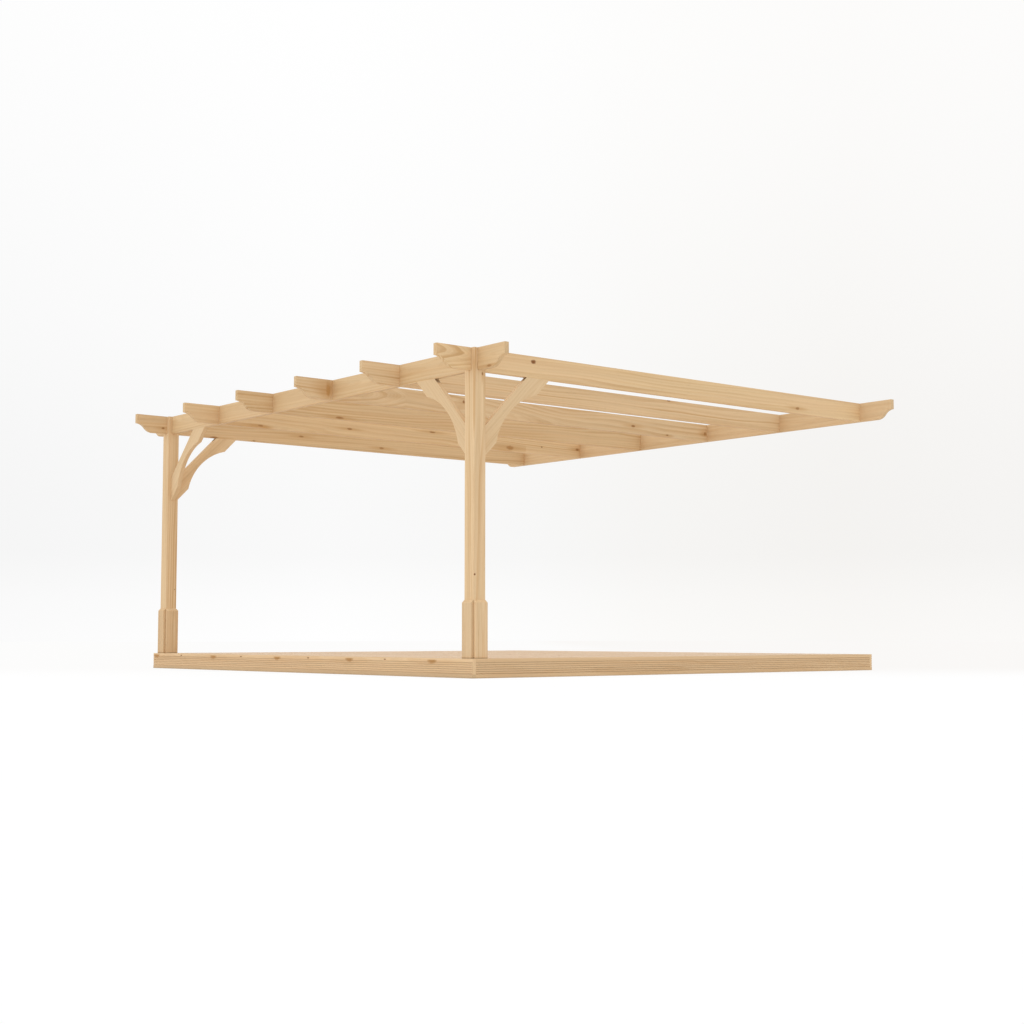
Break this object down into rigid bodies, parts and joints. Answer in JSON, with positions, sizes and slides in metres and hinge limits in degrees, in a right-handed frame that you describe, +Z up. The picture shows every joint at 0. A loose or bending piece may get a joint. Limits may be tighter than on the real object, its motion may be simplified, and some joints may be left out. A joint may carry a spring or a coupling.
{
  "type": "wooden pergola",
  "caption": "Wall-mounted timber pergola with shaped rafter tails and curved knee braces, standing on a low deck with grooved edge boards.",
  "frame": {"origin": "on the ground, below the middle of the roof", "axes": "+X along the front beam, +Y from the posts towards the wall, +Z up"},
  "size_m": [4.8, 4.2, 2.1],
  "materials": {
    "frame_timber": "satin",
    "sleeve_boards": "satin",
    "deck_floor": "matte",
    "deck_fascia": "matte",
    "deck_joists": "matte"
  },
  "bodies": {
    "root": {"left_post": "frame_timber", "right_post": "frame_timber", "front_beam": "frame_timber", "wall_plate": "frame_timber", "rafter_1": "frame_timber", "rafter_2": "frame_timber", "rafter_3": "frame_timber", "rafter_4": "frame_timber", "rafter_5": "frame_timber", "rafter_6": "frame_timber", "left_beam_brace": "frame_timber", "right_beam_brace": "frame_timber", "left_rafter_brace": "frame_timber", "right_rafter_brace": "frame_timber", "left_sleeve_front": "sleeve_boards", "left_sleeve_back": "sleeve_boards", "left_sleeve_inner": "sleeve_boards", "left_sleeve_outer": "sleeve_boards", "right_sleeve_front": "sleeve_boards", "right_sleeve_back": "sleeve_boards", "right_sleeve_inner": "sleeve_boards", "right_sleeve_outer": "sleeve_boards", "deck_floor": "deck_floor", "front_fascia": "deck_fascia", "back_fascia": "deck_fascia", "left_fascia": "deck_fascia", "right_fascia": "deck_fascia", "front_rim": "deck_joists", "back_rim": "deck_joists", "left_rim": "deck_joists", "right_rim": "deck_joists", "deck_joists": "deck_joists"}
  },
  "joints": []
}
